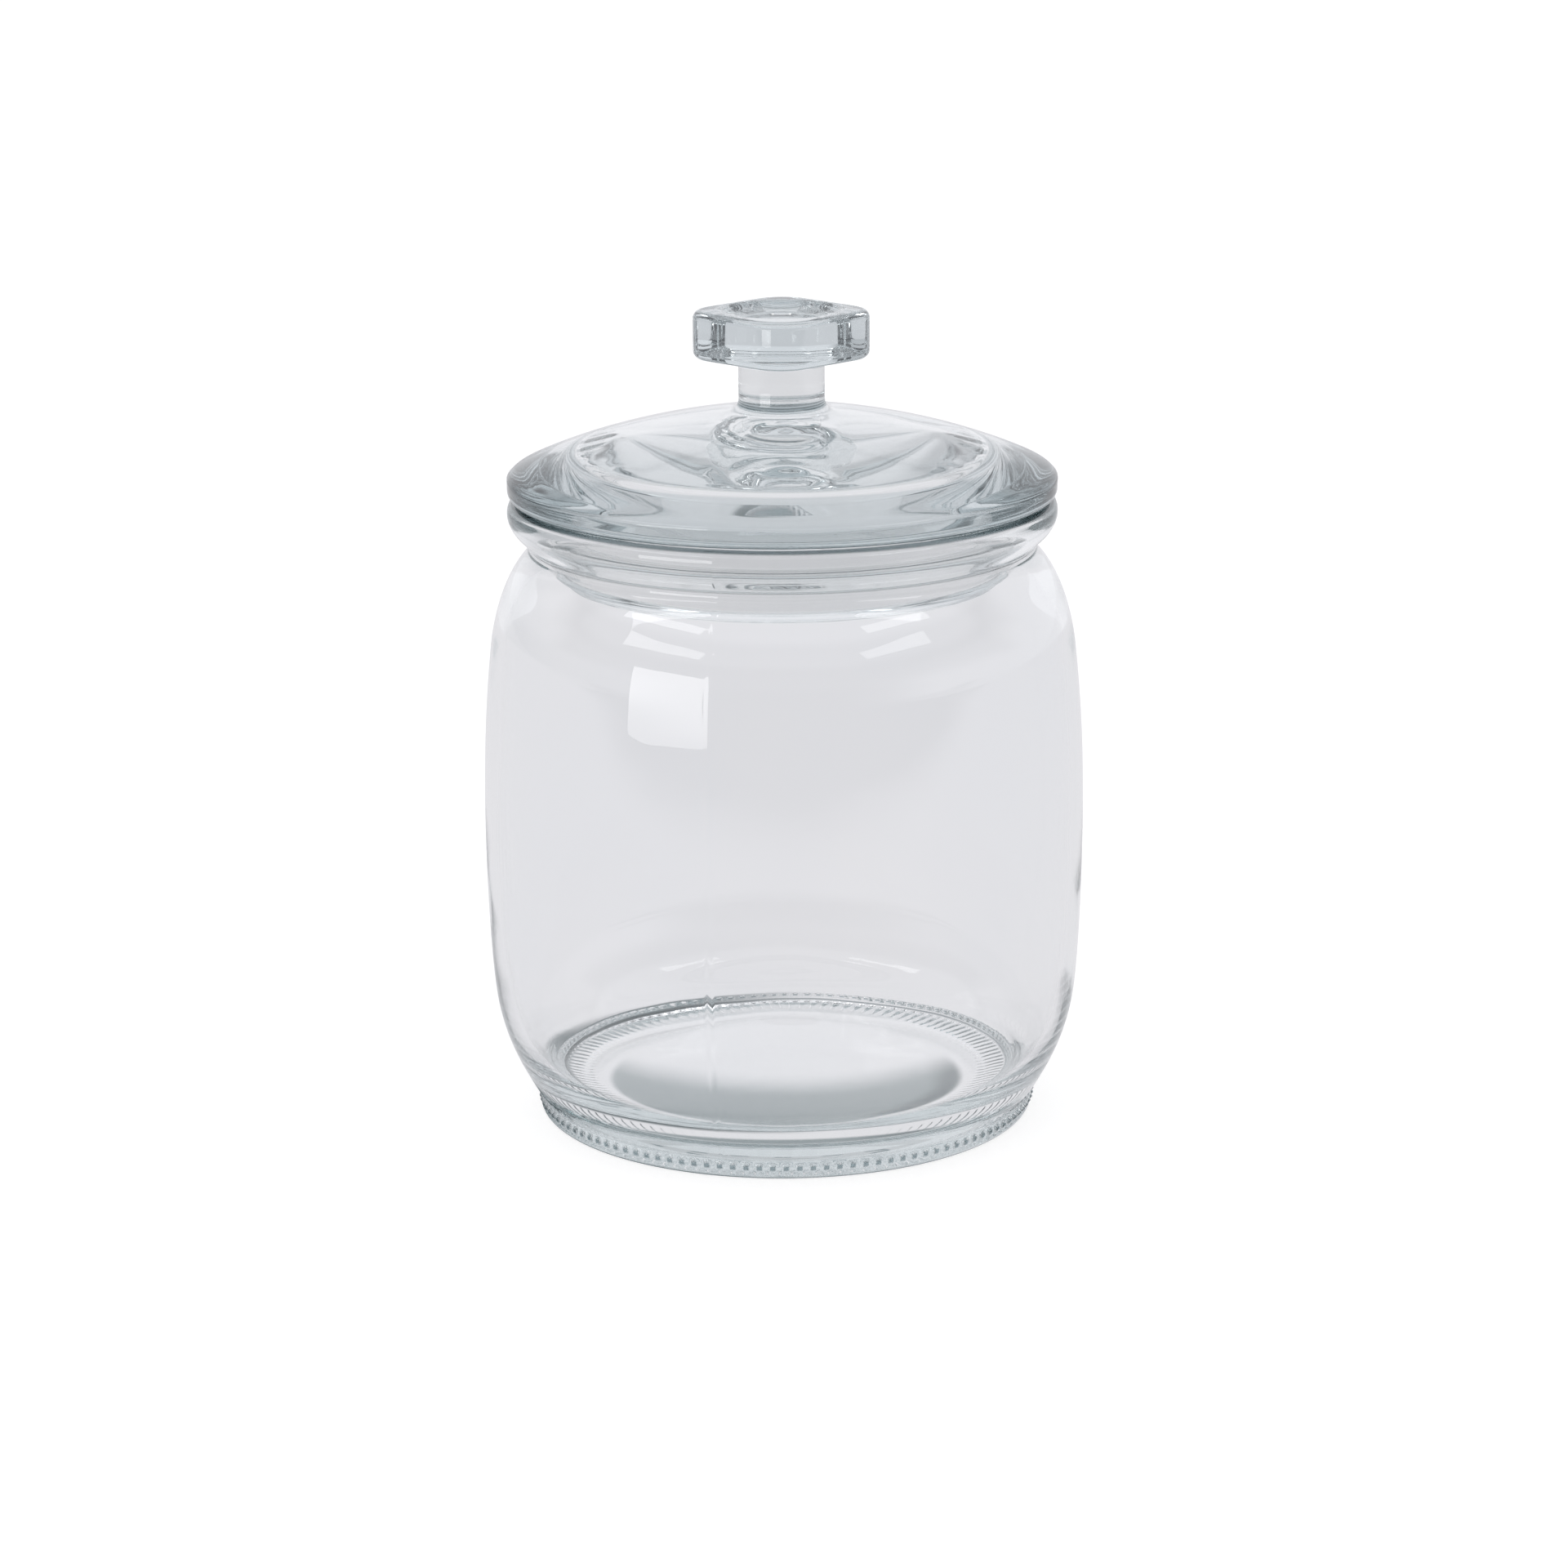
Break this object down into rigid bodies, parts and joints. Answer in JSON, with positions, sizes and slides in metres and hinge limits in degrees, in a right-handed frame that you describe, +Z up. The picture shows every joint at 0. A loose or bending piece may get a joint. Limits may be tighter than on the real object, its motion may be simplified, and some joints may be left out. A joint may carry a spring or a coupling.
{
  "type": "apothecary jar",
  "caption": "Barrel-shaped clear glass jar with a short neck, a domed glass lid with a stem knob, and a soft seal ring round the lid's plug collar.",
  "frame": {"origin": "middle of the resting plane under the foot, on the jar's axis", "axes": "+Z up along the jar's axis; +X and +Y level, with a corner of the knob along each of them"},
  "size_m": [0.1456, 0.1456, 0.197],
  "materials": {
    "jar_glass": "clear, fire-polished, very slight grey-green cast",
    "lid_glass": "clear pressed glass, slight grey-green cast",
    "seal_plastic": "soft translucent milky plastic"
  },
  "bodies": {
    "jar": {"jar_body": "jar_glass"},
    "seal": {"seal_ring": "seal_plastic"},
    "lid": {"lid": "lid_glass"}
  },
  "joints": [
    {"name": "lid_lift", "type": "slide", "parent": "jar", "child": "seal", "axis": [0, 0, 1], "range_m": [0, 0.15]},
    {"name": "lid_turn", "type": "hinge", "parent": "seal", "child": "lid", "pos_m": [0, 0, 0.142], "axis": [0, 0, 1], "continuous": true}
  ]
}
